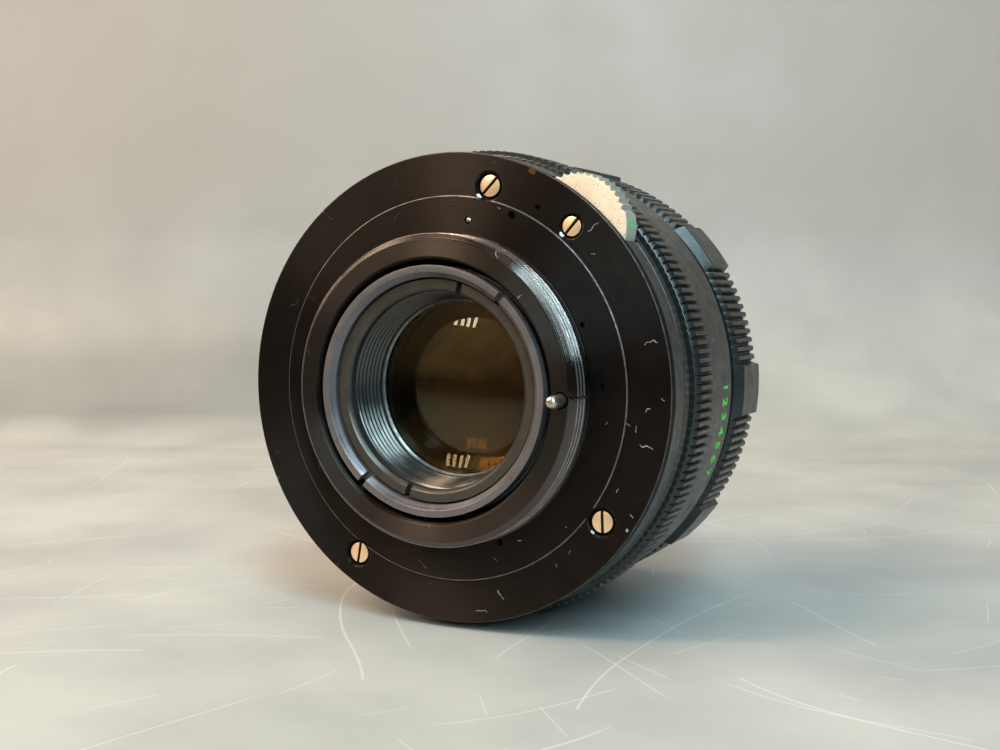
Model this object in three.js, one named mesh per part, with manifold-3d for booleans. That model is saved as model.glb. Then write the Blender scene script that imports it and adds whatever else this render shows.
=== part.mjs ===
// Screw-mount camera lens with an automatic diaphragm, lying on its side.
// Millimetres, +Z up. The optical axis runs along Y: the screw mount faces -Y and the
// front (filter) end faces +Y. While the pieces are made, the axis is the line x = z = 0 and
// y = 0 is the rear face of the mount flange. The whole group is then moved so that its
// origin is under the middle of its bounding box, on the surface that the lens lies on.
// Angles around the axis are in degrees, from +X towards +Z.

import * as THREE from 'three';
import { mergeVertices } from 'three/addons/utils/BufferGeometryUtils.js';
import Module from 'manifold-3d';

const wasm = await Module();
wasm.setup();

// ---------------------------------------------------------------- driving dimensions
const GAP = 0.3; // clearance between neighbouring solids

// rear end: flange, register disc and threaded boss
const FLANGE_R = 32.0;
const FLANGE_T = 1.2;
const REGISTER_R = 26.2;
const REGISTER_H = 0.35;
const THREAD_R = 21.0; // M42 x 1 major radius
const THREAD_END_Y = -1.1;
const RELIEF_R = 20.2; // groove where the thread ends
const SHOULDER_R = 21.05; // plain seat between the groove and the register disc
const SHOULDER_Y = -0.7;
const BOSS_END_R = 20.1;
const BOSS_BORE_R = 17.55;
const BOSS_END_Y = -5.36;

// aperture ring and the fixed barrel around it
const KNURL_TIP_R = 33.0;
const KNURL_DEPTH = 0.8;
const KNURL_TEETH = 172;
const KNURL_Y = [8.05, 15.0];
const BAND_R = 32.2;
const BAND_END_Y = 24.85;
const BARREL_R = 30.0;
const BARREL_BORE_R = 27.8;
const BARREL_END_Y = 33.2;
const FLOOR_Y = [6.0, 7.6]; // wall behind the stop-down ring

// focusing ring: smooth lands with teeth between them
const LAND_R = 32.8;
const LAND_COUNT = 9;
const LAND_CENTRE = 38.0; // angle of one land
const LAND_WIDTH = 13.4; // degrees
const GRIP_TIP_R = 32.25;
const GRIP_DEPTH = 0.8;
const GRIP_TEETH_PER_GAP = 12;
const GRIP_Y = [28.3, 37.4];
const LIP_R = [29.3, 30.6]; // lip in front of the teeth, fixed to the helicoid sleeve
const LIP_Y = [36.6, 39.4];
const SCALE_R = 29.2;
const SCALE_END_Y = 44.8;

// front barrel, with an M52 filter thread
const FRONT_R = 27.4;
const FRONT_Y = [39.8, 50.0];
const FILTER_R = 26.0;

// optical block
const TUBE_R = 16.75;
const BLOCK_BORE_R = 22.5;
const BLOCK_R = 24.6;
const CELL_R = 15.0;

// diaphragm
const BLADE_COUNT = 6;
const BLADE_T = 0.12;
const BLADE_PITCH = 0.38;
const BLADE_FIRST_Y = 17.85;
const BLADE_INNER_R = 11.2;
const BLADE_OUTER_R = 17.0;
const BLADE_SPAN = 112;
const PIVOT_R = 18.2;
const STUD_R = 0.45;
const ARM_SLOT = [146, 232]; // angles swept by the aperture ring's drive arm

// automatic-diaphragm pin and the auto/manual switch
const PIN_R = 0.85;
const PIN_AT = { radius: 18.95, angle: -1.6 };
const PIN_TIP_Y = -8.2;
const SWITCH_AT = { radius: 28.2, angle: 50.1 };
const SWITCH_R = 7.1;
const SWITCH_Y = [1.5, 5.3];
const SWITCH_SCALLOPS = 12;
const SWITCH_SCALLOP_ARC = [14, 112];

// screws in the flange: three that hold the plate, and the switch's pivot
const SCREW_RADIUS = 27.95;
const SCREW_ANGLES = [77.1, -36.2, -121.6];
const SLOT_TURNS = [45, 92, 80]; // how each screw's slot is turned
const PIVOT_SLOT_TURN = 48;
const MOUNT_SCREW = { headR: 1.45, boreR: 1.9, tipY: 5.4 };
const PIVOT_SCREW = { headR: 1.3, boreR: 1.62, tipY: 7.0 };
const HEAD_Y = [0.3, 0.95];
const COUNTERBORE_DEPTH = 1.0;
const SHANK_R = 0.8;
const SCREW_HOLE_R = 1.05;
const SLOT_W = 0.48;
const SLOT_DEPTH = 0.35;

// facets around the axis
const OUTER_FACETS = 36;
const INNER_FACETS = 24;
const SMALL_FACETS = 10;

// ---------------------------------------------------------------- helpers
const rad = THREE.MathUtils.degToRad;

const polar = (radius, angle) => [radius * Math.cos(rad(angle)), radius * Math.sin(rad(angle))];

// closed mesh with shared vertices and no triangle of zero area
function weld(geometry) {
  const bare = geometry.clone();
  bare.deleteAttribute('normal');
  bare.deleteAttribute('uv');
  const merged = mergeVertices(bare, 1e-5);
  const kept = [];
  const index = merged.index.array;
  for (let i = 0; i < index.length; i += 3) {
    const [a, b, c] = [index[i], index[i + 1], index[i + 2]];
    if (a !== b && b !== c && c !== a) kept.push(a, b, c);
  }
  merged.setIndex(kept);
  return merged;
}

function toSolid(geometry) {
  const welded = weld(geometry);
  return new wasm.Manifold(new wasm.Mesh({
    numProp: 3,
    vertProperties: new Float32Array(welded.attributes.position.array),
    triVerts: new Uint32Array(welded.index.array),
  }));
}

function toGeometry(solid) {
  const cut = solid.getMesh();
  const geometry = new THREE.BufferGeometry();
  geometry.setAttribute('position', new THREE.BufferAttribute(new Float32Array(cut.vertProperties), 3));
  geometry.setIndex(new THREE.BufferAttribute(new Uint32Array(cut.triVerts), 1));
  geometry.computeVertexNormals();
  return geometry;
}

const cutAway = (base, ...tools) => tools.reduce((body, tool) => body.subtract(tool), base);
const joinAll = (base, ...others) => others.reduce((body, other) => body.add(other), base);

// solid of revolution about the optical axis, from [radius, y] points of a closed outline
// (an outline that touches the axis starts and ends on it)
function turned(points, facets = INNER_FACETS) {
  let area = 0;
  points.forEach(([r, y], i) => {
    const [nextR, nextY] = points[(i + 1) % points.length];
    area += r * nextY - nextR * y;
  });
  const outline = area > 0 ? [...points] : [...points].reverse();
  const onAxis = outline.filter(([r]) => r === 0).length > 0;
  if (onAxis) {
    while (!(outline[0][0] === 0 && outline[outline.length - 1][0] === 0)) outline.push(outline.shift());
  } else {
    outline.push(outline[0]);
  }
  return toSolid(new THREE.LatheGeometry(outline.map(([r, y]) => new THREE.Vector2(r, y)), facets));
}

const ring = (inner, outer, y0, y1, facets = INNER_FACETS) =>
  turned([[inner, y0], [outer, y0], [outer, y1], [inner, y1]], facets);

// cylinder parallel to the optical axis
function rod(radius, y0, y1, at, facets = SMALL_FACETS) {
  const geometry = new THREE.CylinderGeometry(radius, radius, y1 - y0, facets);
  const [x, z] = polar(at.radius, at.angle);
  return toSolid(geometry.translate(x, (y0 + y1) / 2, z));
}

// cylinder along a radius
function radialRod(radius, r0, r1, y, angle, facets = SMALL_FACETS) {
  const geometry = new THREE.CylinderGeometry(radius, radius, r1 - r0, facets);
  geometry.rotateZ(-Math.PI / 2).translate((r0 + r1) / 2, y, 0);
  return toSolid(geometry.rotateY(-rad(angle)));
}

// box that lies between two radii at an angle, `width` across
function radialBox(r0, r1, width, y0, y1, angle) {
  const geometry = new THREE.BoxGeometry(r1 - r0, y1 - y0, width);
  geometry.translate((r0 + r1) / 2, (y0 + y1) / 2, 0);
  return toSolid(geometry.rotateY(-rad(angle)));
}

// flat plate with an outline of [x, z] points, between two values of y
function plate(points, y0, y1, hole) {
  const shape = new THREE.Shape(points.map(([x, z]) => new THREE.Vector2(x, z)));
  if (hole) shape.holes.push(hole);
  const geometry = new THREE.ExtrudeGeometry(shape, { depth: y1 - y0, bevelEnabled: false });
  return toSolid(geometry.rotateX(Math.PI / 2).translate(0, y1, 0));
}

function circlePath(radius, facets) {
  const points = [];
  for (let i = 0; i < facets; i += 1) {
    points.push(new THREE.Vector2(...polar(radius, (360 * i) / facets)));
  }
  return new THREE.Path(points);
}

// arc-shaped plate between two radii and two angles
function sector(r0, r1, a0, a1, y0, y1, steps = 12) {
  const outer = [];
  const inner = [];
  for (let i = 0; i <= steps; i += 1) {
    const angle = a0 + ((a1 - a0) * i) / steps;
    outer.push(polar(r1, angle));
    inner.unshift(polar(r0, angle));
  }
  return plate([...outer, ...inner], y0, y1);
}

// lens element: each face bulges outwards by its sag at the middle, or is hollow if that is negative
function glass({ rimR, rearY, frontY, rearSag, frontSag, steps = 4 }) {
  const outline = [];
  for (let i = 0; i <= steps; i += 1) {
    const r = (rimR * i) / steps;
    outline.push([r, rearY - rearSag * (1 - (i / steps) ** 2)]);
  }
  for (let i = steps; i >= 0; i -= 1) {
    const r = (rimR * i) / steps;
    outline.push([r, frontY + frontSag * (1 - (i / steps) ** 2)]);
  }
  return turned(outline);
}

// ---------------------------------------------------------------- materials
const finish = (color, roughness, metalness) => ({ color, roughness, metalness });
const GLOSS_BLACK = finish(0x141213, 0.28, 0.6);
const MATT_BLACK = finish(0x2b2d2d, 0.6, 0.4);
const SATIN_BLACK = finish(0x232021, 0.4, 0.5);
const GREY_ANODISED = finish(0x4a474c, 0.35, 0.7);
const SILVER = finish(0xd9d4cc, 0.35, 0.9);
const BRASS = finish(0xd8bd8a, 0.35, 0.9);
const STEEL = finish(0x9a9894, 0.3, 1.0);
const RAW_ALUMINIUM = finish(0xa9aaa8, 0.45, 0.9);
const COATED_GLASS = finish(0x8c7a4a, 0.05, 0.1);

const lens = new THREE.Group();

function add(name, solid, look) {
  const material = new THREE.MeshStandardMaterial(look);
  const mesh = new THREE.Mesh(toGeometry(solid), material);
  mesh.name = name;
  lens.add(mesh);
}

// ---------------------------------------------------------------- mount plate
function mountPlate() {
  const body = turned([
    [BOSS_BORE_R + 0.35, BOSS_END_Y], [BOSS_END_R, BOSS_END_Y], [THREAD_R, BOSS_END_Y + 0.9],
    [THREAD_R, THREAD_END_Y], [RELIEF_R, THREAD_END_Y], [RELIEF_R, SHOULDER_Y],
    [SHOULDER_R, SHOULDER_Y], [SHOULDER_R, -REGISTER_H], [REGISTER_R, -REGISTER_H],
    [REGISTER_R, 0], [FLANGE_R - 0.3, 0], [FLANGE_R, 0.3],
    [FLANGE_R, FLANGE_T], [BOSS_BORE_R, FLANGE_T], [BOSS_BORE_R, BOSS_END_Y + 0.35],
  ], OUTER_FACETS);
  const screwed = [
    ...SCREW_ANGLES.map((angle) => [{ radius: SCREW_RADIUS, angle }, MOUNT_SCREW]),
    [SWITCH_AT, PIVOT_SCREW],
  ];
  const holes = screwed.flatMap(([at, { boreR }]) => [
    rod(boreR, -1, COUNTERBORE_DEPTH, at, 16),
    rod(SCREW_HOLE_R, 0, FLANGE_T + 1, at),
  ]);
  const smallHoles = [
    [23.0, 81.8, 0.5], [25.2, 67.2, 0.55], [27.6, 61.0, 0.4],
    [22.7, 2.9, 0.35], [21.8, 24.2, 0.4], [21.8, -68.2, 0.4],
  ].map(([radius, angle, size]) => rod(size, -1, 0.8, { radius, angle }, 8));
  const pinHole = rod(PIN_R + 0.25, BOSS_END_Y - 1, FLANGE_T + 1, PIN_AT, 16);
  return cutAway(body, ...holes, ...smallHoles, pinHole);
}
add('mount_plate', mountPlate(), GLOSS_BLACK);

// slotted cheese-head screw, its head facing -Y
function flangeScrew(at, { headR, tipY }, slotTurn) {
  const head = rod(headR, ...HEAD_Y, at, 16);
  const shank = rod(SHANK_R, HEAD_Y[1] - 0.2, tipY, at);
  const [x, z] = polar(at.radius, at.angle);
  const slot = new THREE.BoxGeometry(2 * headR + 1, 2 * SLOT_DEPTH, SLOT_W);
  slot.rotateY(-rad(slotTurn)).translate(x, HEAD_Y[0], z);
  return cutAway(joinAll(head, shank), toSolid(slot));
}
SCREW_ANGLES.forEach((angle, i) => {
  const at = { radius: SCREW_RADIUS, angle };
  add(`mount_screw_${i + 1}`, flangeScrew(at, MOUNT_SCREW, SLOT_TURNS[i]), BRASS);
});
add('switch_pivot_screw', flangeScrew(SWITCH_AT, PIVOT_SCREW, PIVOT_SLOT_TURN), BRASS);
add('locating_pin', rod(0.32, 0.05 - REGISTER_H, 0.7, { radius: 23.0, angle: 81.8 }, 10), STEEL);

// ---------------------------------------------------------------- fixed main barrel
const WALL_BORE_R = 25.0;
const REAR_RING_END_Y = 7.1;
const GROOVE_R = 31.0; // bottom of the groove between the barrel and the aperture ring
const INDEX_R = [29.5, 30.5];

function mainBarrel() {
  const body = turned([
    [WALL_BORE_R, FLANGE_T + GAP], [FLANGE_R, FLANGE_T + GAP], [FLANGE_R, REAR_RING_END_Y],
    [GROOVE_R, REAR_RING_END_Y + 0.1], [GROOVE_R, FLOOR_Y[1]], [BARREL_R, 7.75], [BARREL_R, 25.0],
    [29.2, 25.0], [29.2, BARREL_END_Y], [BARREL_BORE_R, BARREL_END_Y], [BARREL_BORE_R, FLOOR_Y[1]],
    [BOSS_BORE_R, FLOOR_Y[1]], [BOSS_BORE_R, FLOOR_Y[0]], [WALL_BORE_R, FLOOR_Y[0]],
  ], OUTER_FACETS);
  const switchPocket = rod(SWITCH_R + 0.35, 0, SWITCH_Y[1] + GAP, SWITCH_AT, 40);
  const pivotHole = rod(SCREW_HOLE_R, 5, 7.2, SWITCH_AT);
  const screwHoles = SCREW_ANGLES.map((angle) => (
    rod(SCREW_HOLE_R, 0, 5.7, { radius: SCREW_RADIUS, angle })
  ));
  const armSlot = sector(26, 33, ...ARM_SLOT, 8.2, 10.2);
  const clickPocket = radialBox(28.2, 31, 8.6, 10.9, 13.1, 90);
  return cutAway(body, switchPocket, pivotHole, ...screwHoles, armSlot, clickPocket, keyScrewHole());
}

const KEY_ANGLE = -60;
const KEY_SCREW_AT = { radius: 21.6, angle: KEY_ANGLE };
function keyScrewHole() {
  return rod(0.75, 6.3, 9, KEY_SCREW_AT, 12);
}
add('main_barrel', mainBarrel(), MATT_BLACK);

add('index_ring', ring(...INDEX_R, 25.3, BARREL_END_Y, OUTER_FACETS), SATIN_BLACK);

// straight key that stops the optical block from turning
function guideKey() {
  const bar = radialBox(22.75, 24.3, 2.6, 7.9, 28, KEY_ANGLE);
  const foot = radialBox(20.2, 24.3, 5.0, 7.9, 9.3, KEY_ANGLE);
  return cutAway(joinAll(bar, foot), rod(0.85, 7, 10, KEY_SCREW_AT, 12));
}
add('guide_key', guideKey(), STEEL);
function guideKeyScrew() {
  const head = rod(1.1, 9.6, 10.3, KEY_SCREW_AT, 14);
  const shank = rod(0.5, 6.7, 9.8, KEY_SCREW_AT, 12);
  const slot = radialBox(20, 23.2, 0.35, 10.05, 10.6, KEY_ANGLE);
  return cutAway(joinAll(head, shank), slot);
}
add('guide_key_screw', guideKeyScrew(), BRASS);

// click stop of the aperture ring: a ball on a leaf spring
const ball = new THREE.SphereGeometry(0.6, 14, 10).translate(0, 12.0, 29.35);
add('click_ball', toSolid(ball), STEEL);
add('click_spring', radialBox(28.3, 28.5, 8.0, 11.3, 12.7, 90), BRASS);

// ---------------------------------------------------------------- aperture ring
// outline with V-shaped teeth
function toothedOutline(tipR, depth, teeth) {
  const points = [];
  const pitch = 360 / teeth;
  for (let i = 0; i < teeth; i += 1) {
    points.push(polar(tipR, i * pitch));
    points.push(polar(tipR - depth, (i + 0.5) * pitch));
  }
  return points;
}

const RING_BORE_R = BARREL_R + GAP;
function apertureRing() {
  const outline = toothedOutline(KNURL_TIP_R, KNURL_DEPTH, KNURL_TEETH);
  const teeth = plate(outline, ...KNURL_Y, circlePath(RING_BORE_R, OUTER_FACETS));
  const band = ring(RING_BORE_R, BAND_R, KNURL_Y[1] - 0.5, BAND_END_Y, OUTER_FACETS);
  return joinAll(teeth, band);
}
add('aperture_ring', apertureRing(), MATT_BLACK);

// arm from the aperture ring, through the barrel's slot, to the iris ring
const ARM_ANGLE = 152;
const ARM_BAR = { inner: 19.5, outer: 20.7, width: 1.6, frontY: 23.0 };
function driveArm() {
  const arm = radialBox(ARM_BAR.inner, BARREL_R, 3.0, 8.6, 9.8, ARM_ANGLE);
  const bar = radialBox(ARM_BAR.inner, ARM_BAR.outer, ARM_BAR.width, 8.6, ARM_BAR.frontY, ARM_ANGLE);
  return joinAll(arm, bar);
}
add('aperture_drive_arm', driveArm(), STEEL);

// ---------------------------------------------------------------- automatic diaphragm parts
const PIN_HEAD_Y = [1.4, 2.0];
const STOPDOWN_Y = [5.1, 5.7];
const CAM_FROM_PIN = [-4.8, 1.7, 3.4]; // along the ring: end of the slope, its start, the cam's back
function aperturePin() {
  const shaft = rod(PIN_R, PIN_TIP_Y + 0.2, PIN_HEAD_Y[1], PIN_AT, 16);
  const tip = rod(PIN_R - 0.15, PIN_TIP_Y, 0, PIN_AT, 16);
  const head = rod(1.3, ...PIN_HEAD_Y, PIN_AT, 16);
  return joinAll(shaft, tip, head);
}
add('aperture_pin', aperturePin(), STEEL);

// ring in front of the pin: the pin's head pushes its sloping cam, which turns it
function stopdownRing() {
  const cam = new THREE.BoxGeometry(2.3, 1, 1);
  const at = cam.attributes.position;
  for (let i = 0; i < at.count; i += 1) {
    const joinsRing = at.getY(i) > 0;
    const lowCorner = joinsRing ? CAM_FROM_PIN[0] : CAM_FROM_PIN[1];
    at.setXYZ(
      i,
      at.getX(i) + 19.15,
      joinsRing ? STOPDOWN_Y[0] + 0.1 : PIN_HEAD_Y[1],
      at.getZ(i) > 0 ? CAM_FROM_PIN[2] : lowCorner,
    );
  }
  return joinAll(ring(18.0, 20.6, ...STOPDOWN_Y), toSolid(cam.rotateY(-rad(PIN_AT.angle))));
}
add('stopdown_ring', stopdownRing(), STEEL);

// auto/manual switch: a disc with finger scallops along part of its edge
function autoSwitch() {
  const points = [];
  const [start, end] = SWITCH_SCALLOP_ARC;
  const pitch = (end - start) / SWITCH_SCALLOPS;
  for (let i = 0; i < SWITCH_SCALLOPS; i += 1) {
    points.push(polar(SWITCH_R, start + i * pitch));
    points.push(polar(SWITCH_R - 0.35, start + (i + 0.3) * pitch));
    points.push(polar(SWITCH_R - 0.35, start + (i + 0.7) * pitch));
  }
  const smoothSteps = 20;
  for (let i = 0; i < smoothSteps; i += 1) {
    points.push(polar(SWITCH_R, end + ((360 - end + start) * i) / smoothSteps));
  }
  const [x, z] = polar(SWITCH_AT.radius, SWITCH_AT.angle);
  const disc = plate(points.map(([dx, dz]) => [x + dx, z + dz]), ...SWITCH_Y);
  return cutAway(disc, rod(1.1, 0, 8, SWITCH_AT, 16));
}
add('auto_manual_switch', autoSwitch(), SILVER);

// ---------------------------------------------------------------- optical block: tubes and cells
const SLOT_R = [19.1, 21.1];
const armSlotAt = (y0, y1) => sector(...SLOT_R, ...ARM_SLOT, y0, y1);
const keySlot = radialBox(20.0, 26, 3.4, 13, 36, KEY_ANGLE);

function innerBarrel() {
  const body = turned([
    [CELL_R + GAP, -2.9], [TUBE_R, -2.9], [TUBE_R, 14.0], [BLOCK_R, 14.0], [BLOCK_R, 41.0],
    [BLOCK_BORE_R, 41.0], [BLOCK_BORE_R, 16.0], [CELL_R + GAP, 16.0],
  ]);
  return cutAway(body, armSlotAt(13, 17), keySlot);
}
add('inner_barrel', innerBarrel(), RAW_ALUMINIUM);

// spanner slots across a ring's rear face
function spannerSlots(solid, r0, r1, y0, y1, width, angle) {
  return cutAway(solid, ...[angle, angle + 180].map((turn) => radialBox(r0, r1, width, y0, y1, turn)));
}

add('rear_lock_ring', spannerSlots(turned([
  [15.15, -4.55], [15.85, BOSS_END_Y], [TUBE_R, BOSS_END_Y], [TUBE_R, -3.2], [15.15, -3.2],
]), 14, 18, -6, -4.3, 1.0, 50), GREY_ANODISED);

add('rear_retaining_ring', spannerSlots(turned([
  [13.25, -3.6], [13.75, -4.12], [14.9, -4.12], [14.9, -2.7], [13.25, -2.7],
]), 12, 16, -5, -3.4, 1.0, 74), SATIN_BLACK);

function rearCell() {
  const bore = [];
  const ribs = 4;
  const pitch = 5.6 / ribs;
  for (let i = 0; i < ribs; i += 1) {
    const radius = 13.3 - 0.25 * i;
    bore.push([radius, -2.4 + i * pitch], [radius - 0.3, -2.4 + (i + 0.7) * pitch]);
  }
  return turned([
    ...bore, [12.0, 3.2], [12.0, 3.5], [12.85, 3.5], [12.85, 6.3], [12.1, 9.4], [12.1, 16.6],
    [CELL_R, 16.6], [CELL_R, -2.4],
  ]);
}
add('rear_cell', rearCell(), SATIN_BLACK);

add('rear_glass', glass({
  rimR: 12.6, rearY: 3.8, frontY: 6.0, rearSag: 2.2, frontSag: 0.8,
}), COATED_GLASS);
add('rear_spacer', turned([
  [11.6, 6.35], [12.4, 6.35], [11.8, 9.5], [11.2, 9.5],
]), SATIN_BLACK);
add('rear_doublet_convex', glass({
  rimR: 11.7, rearY: 9.9, frontY: 11.6, rearSag: 2.3, frontSag: 0,
}), COATED_GLASS);
add('rear_doublet_concave', turned([
  [0, 11.9], [11.7, 11.9], [11.7, 15.7], [10.5, 15.7], [8.5, 14.7], [6, 13.9], [3, 13.25], [0, 13.0],
]), COATED_GLASS);
add('rear_doublet_ring', ring(10.6, 11.8, 16.0, 16.6), SATIN_BLACK);

// ---------------------------------------------------------------- diaphragm
const COVER_Y = [20.3, 20.8];
function diaphragmHousing() {
  const body = turned([
    [15.4, 16.3], [22.0, 16.3], [22.0, 20.0], [21.4, 20.0], [21.4, 16.7], [15.4, 16.7],
  ]);
  return cutAway(body, armSlotAt(16, 17));
}
add('diaphragm_housing', diaphragmHousing(), MATT_BLACK);

const bladeAngle = (i) => (360 * i) / BLADE_COUNT + 20;
function diaphragmCover() {
  const studs = [];
  for (let i = 0; i < BLADE_COUNT; i += 1) {
    const at = { radius: PIVOT_R, angle: bladeAngle(i) };
    studs.push(rod(STUD_R, BLADE_FIRST_Y - 0.1, COVER_Y[0] + 0.2, at));
  }
  return cutAway(joinAll(ring(11.0, 22.0, ...COVER_Y), ...studs), armSlotAt(20, 21));
}
add('diaphragm_cover', diaphragmCover(), MATT_BLACK);

// turned by the drive arm, whose bar slides in the fork of its ear
function irisRing() {
  const y = [17.0, 17.5];
  const ear = radialBox(17, 20.95, 5.0, ...y, ARM_ANGLE);
  const fork = radialBox(19.2, 22, ARM_BAR.width + 0.6, 16, 18, ARM_ANGLE);
  return cutAway(joinAll(ring(12.2, 18.6, ...y), ear), fork);
}
add('iris_ring', irisRing(), STEEL);

for (let i = 0; i < BLADE_COUNT; i += 1) {
  const angle = bladeAngle(i);
  const y = [BLADE_FIRST_Y + i * BLADE_PITCH, BLADE_FIRST_Y + i * BLADE_PITCH + BLADE_T];
  const crescent = sector(BLADE_INNER_R, BLADE_OUTER_R, angle - 3, angle + BLADE_SPAN, ...y, 14);
  const ear = rod(1.3, ...y, { radius: PIVOT_R - 0.6, angle }, 16);
  const hole = rod(STUD_R + 0.3, y[0] - 1, y[1] + 1, { radius: PIVOT_R, angle }, 12);
  add(`iris_blade_${i + 1}`, cutAway(joinAll(crescent, ear), hole), MATT_BLACK);
}

// ---------------------------------------------------------------- front optics
add('front_cell', turned([
  [10.6, 21.1], [18.6, 21.1], [18.6, 26.8], [22.15, 26.8], [22.15, 38.6], [17.4, 38.6],
  [17.4, 28.0], [14.5, 28.0], [14.5, 25.6], [12.0, 25.6], [12.0, 21.5], [10.6, 21.5],
]), MATT_BLACK);
add('front_doublet_concave', turned([
  [0, 25.6], [11.7, 25.6], [11.7, 21.9], [10.5, 21.9], [8.5, 22.9], [6, 23.7], [3, 24.35], [0, 24.6],
]), COATED_GLASS);
add('front_doublet_convex', glass({
  rimR: 14.2, rearY: 25.9, frontY: 27.5, rearSag: 0, frontSag: 4.4,
}), COATED_GLASS);
add('front_spacer', turned([
  [13.7, 28.4], [17.1, 28.4], [17.1, 30.5], [15.6, 30.5], [13.7, 29.3],
]), SATIN_BLACK);
add('front_glass', glass({
  rimR: 17.0, rearY: 31.0, frontY: 33.1, rearSag: -1.3, frontSag: 4.3,
}), COATED_GLASS);
add('front_retaining_ring', spannerSlots(
  ring(15.9, 17.1, 34.5, 36.0), 15, 18, 35.5, 37, 1.0, 20,
), SATIN_BLACK);

function frontBarrel() {
  return turned([
    [24.95, FRONT_Y[0]], [FRONT_R, FRONT_Y[0]], [FRONT_R, FRONT_Y[1] - 0.3], [FRONT_R - 0.3, FRONT_Y[1]],
    [FILTER_R + 0.2, FRONT_Y[1]], [FILTER_R, FRONT_Y[1] - 0.2], [FILTER_R, 43.6], [24.95, 43.6],
  ], OUTER_FACETS);
}
add('front_barrel', frontBarrel(), GLOSS_BLACK);
add('front_trim_ring', turned([
  [17.8, 39.0], [18.6, 39.0], [25.7, 45.7], [25.7, 46.6], [24.9, 46.6], [17.8, 39.9],
]), SATIN_BLACK);

// ---------------------------------------------------------------- focusing ring and its helicoid
const GRUB_ANGLES = [18, 138, 258];
const GRUB_Y = 38.55;
const grubHoles = () => GRUB_ANGLES.map((angle) => radialRod(0.95, 27.8, 34, GRUB_Y, angle, 12));

const SLEEVE_FLANGE_R = LIP_R[0] - GAP;
add('helicoid_sleeve', cutAway(turned([
  [24.9, 14.2], [27.5, 14.2], [27.5, 37.7], [SLEEVE_FLANGE_R, 37.7], [SLEEVE_FLANGE_R, 39.45],
  [24.9, 39.45],
]), ...grubHoles()), RAW_ALUMINIUM);

// lands and teeth around the grip
function gripOutline() {
  const points = [];
  const period = 360 / LAND_COUNT;
  const pitch = (period - LAND_WIDTH) / GRIP_TEETH_PER_GAP;
  for (let land = 0; land < LAND_COUNT; land += 1) {
    const start = LAND_CENTRE + land * period - LAND_WIDTH / 2;
    const landSteps = 4;
    for (let i = 0; i <= landSteps; i += 1) {
      points.push(polar(LAND_R, start + (LAND_WIDTH * i) / landSteps));
    }
    for (let i = 0; i < GRIP_TEETH_PER_GAP; i += 1) {
      points.push(polar(GRIP_TIP_R - GRIP_DEPTH, start + LAND_WIDTH + (i + 0.5) * pitch));
      if (i === GRIP_TEETH_PER_GAP - 1) break;
      points.push(polar(GRIP_TIP_R, start + LAND_WIDTH + (i + 1) * pitch));
    }
  }
  return points;
}
const GRIP_BORE_R = INDEX_R[1] + GAP;
function focusGrip() {
  const grip = plate(gripOutline(), ...GRIP_Y, circlePath(GRIP_BORE_R, OUTER_FACETS));
  const web = ring(LIP_R[0], GRIP_TIP_R - GRIP_DEPTH, LIP_Y[0], GRIP_Y[1], OUTER_FACETS);
  const lip = ring(...LIP_R, ...LIP_Y, OUTER_FACETS);
  return cutAway(joinAll(grip, web, lip), ...grubHoles());
}
add('focus_grip', focusGrip(), MATT_BLACK);
const SCALE_BORE_R = FRONT_R + GAP;
add('distance_ring', turned([
  [SCALE_BORE_R, 39.75], [SCALE_R, 39.75], [SCALE_R, SCALE_END_Y - 0.3], [SCALE_R - 0.3, SCALE_END_Y],
  [SCALE_BORE_R, SCALE_END_Y],
], OUTER_FACETS), MATT_BLACK);
GRUB_ANGLES.forEach((angle, i) => {
  add(`focus_grub_screw_${i + 1}`, radialRod(0.6, 28.1, 30.5, GRUB_Y, angle), STEEL);
});

// ---------------------------------------------------------------- placing
lens.position.set(0, -(PIN_TIP_Y + FRONT_Y[1]) / 2, KNURL_TIP_R);

export default lens;
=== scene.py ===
"""Looks of the screw-mount camera lens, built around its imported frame.

The lens lies on its side: the optical axis runs along Y, with the screw mount towards -Y and
the front towards +Y. Sizes below are millimetres. `r` is a distance from the optical axis,
`y` is measured along it from the rear face of the mount flange, and angles are degrees around
it from +X towards +Z. point() turns them into the row frame's metres.
"""

import math

import bmesh
import bpy
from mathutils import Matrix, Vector


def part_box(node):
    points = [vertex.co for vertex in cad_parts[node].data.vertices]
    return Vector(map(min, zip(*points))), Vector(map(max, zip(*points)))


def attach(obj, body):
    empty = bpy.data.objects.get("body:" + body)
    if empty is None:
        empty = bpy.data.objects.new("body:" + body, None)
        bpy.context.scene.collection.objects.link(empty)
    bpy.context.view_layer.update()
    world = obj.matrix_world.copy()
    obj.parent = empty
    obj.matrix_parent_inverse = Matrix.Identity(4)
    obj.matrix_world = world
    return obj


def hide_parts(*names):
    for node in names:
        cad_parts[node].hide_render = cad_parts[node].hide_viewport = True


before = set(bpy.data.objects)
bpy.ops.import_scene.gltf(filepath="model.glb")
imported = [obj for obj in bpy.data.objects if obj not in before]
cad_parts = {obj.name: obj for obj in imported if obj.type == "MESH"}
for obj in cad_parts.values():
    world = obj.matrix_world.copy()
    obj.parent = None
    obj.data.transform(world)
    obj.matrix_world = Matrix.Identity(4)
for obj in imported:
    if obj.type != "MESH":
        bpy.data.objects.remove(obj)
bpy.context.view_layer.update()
scene = bpy.context.scene

MM = 0.001
FLANGE_T = 1.2
ring_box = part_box("aperture_ring")
AXIS = (ring_box[0] + ring_box[1]) / 2
ORIGIN = Vector((AXIS.x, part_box("mount_plate")[1].y - FLANGE_T * MM, AXIS.z))

# ---------------------------------------------------------------- camera
CAMERA_AZIMUTH = 26.71
CAMERA_ELEVATION = 3.51
CAMERA_FROM_FLANGE = Vector((85.58, -154.33, 12.75)) * MM
LENS, SENSOR = 46.8, 36.0


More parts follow.
